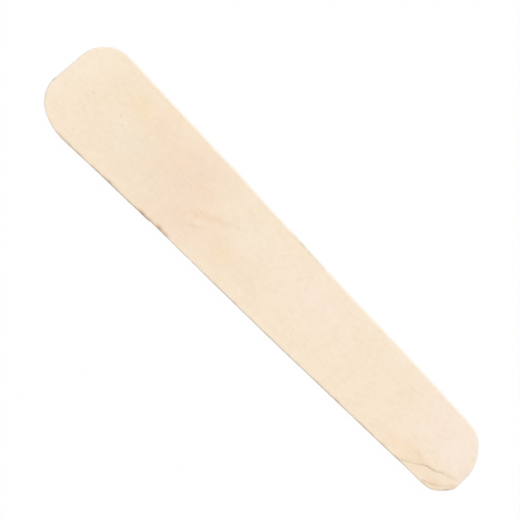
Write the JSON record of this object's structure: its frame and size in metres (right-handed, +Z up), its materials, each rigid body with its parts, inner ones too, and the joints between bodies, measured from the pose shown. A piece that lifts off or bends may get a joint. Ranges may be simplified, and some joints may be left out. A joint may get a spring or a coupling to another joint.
{
  "type": "wooden wax spatula",
  "caption": "Flat one-piece wooden spatula that flares from a narrow grip to a broad rounded end, for spreading warm depilatory wax on skin.",
  "frame": {"origin": "middle of the box around the piece, on the underside it rests on", "axes": "+X along the blade to the broad working end, +Y across it to the long side with the torn edge, +Z up through the thickness"},
  "size_m": [0.2004, 0.0372, 0.002],
  "materials": {
    "birch_veneer": "bare pale birch veneer, knife cut, tumbled smooth and left matt"
  },
  "bodies": {
    "root": {"spatula": "birch_veneer"}
  },
  "joints": []
}
